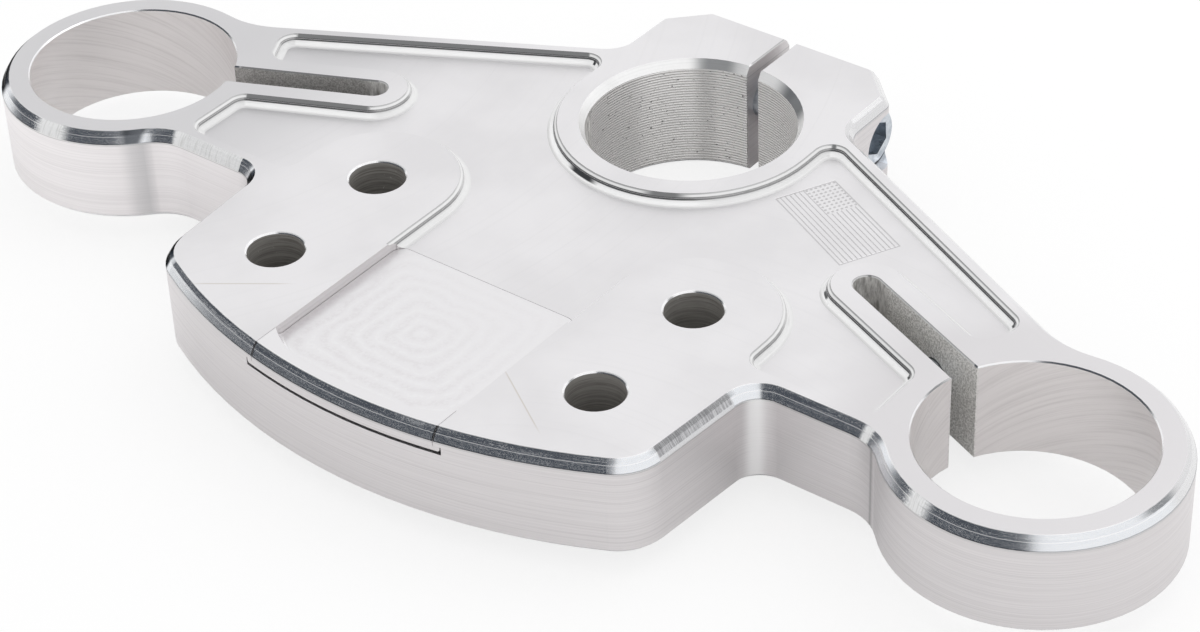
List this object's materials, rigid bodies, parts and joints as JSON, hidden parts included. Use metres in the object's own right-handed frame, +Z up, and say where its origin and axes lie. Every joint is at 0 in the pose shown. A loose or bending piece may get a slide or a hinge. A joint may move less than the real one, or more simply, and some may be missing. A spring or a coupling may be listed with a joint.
{
  "type": "motorcycle triple clamp",
  "caption": "Upper triple clamp: a machined plate with split fork eyes, a split stem collar, riser holes, a sunk pocket and a slide-in cover.",
  "frame": {"origin": "steering stem axis, level with the plate's underside; the collar's boss reaches below it", "axes": "+Z up along the stem, +X to the fork on the right of the picture, +Y to the rider"},
  "size_m": [0.3158, 0.1696, 0.0292],
  "materials": {
    "machined_aluminium": "bare billet aluminium, satin machined top, ground side walls",
    "cover_aluminium": "bare aluminium with visible milling paths on its sunk floor",
    "zinc_steel": "zinc plated steel",
    "black_steel": "black oxide steel"
  },
  "bodies": {
    "root": {"top_clamp": "machined_aluminium", "cover_insert": "cover_aluminium", "stem_pinch_bolt": "zinc_steel", "fork_pinch_bolt_right": "zinc_steel", "fork_pinch_bolt_left": "zinc_steel", "cover_set_screw_right": "black_steel", "cover_set_screw_left": "black_steel"}
  },
  "joints": []
}
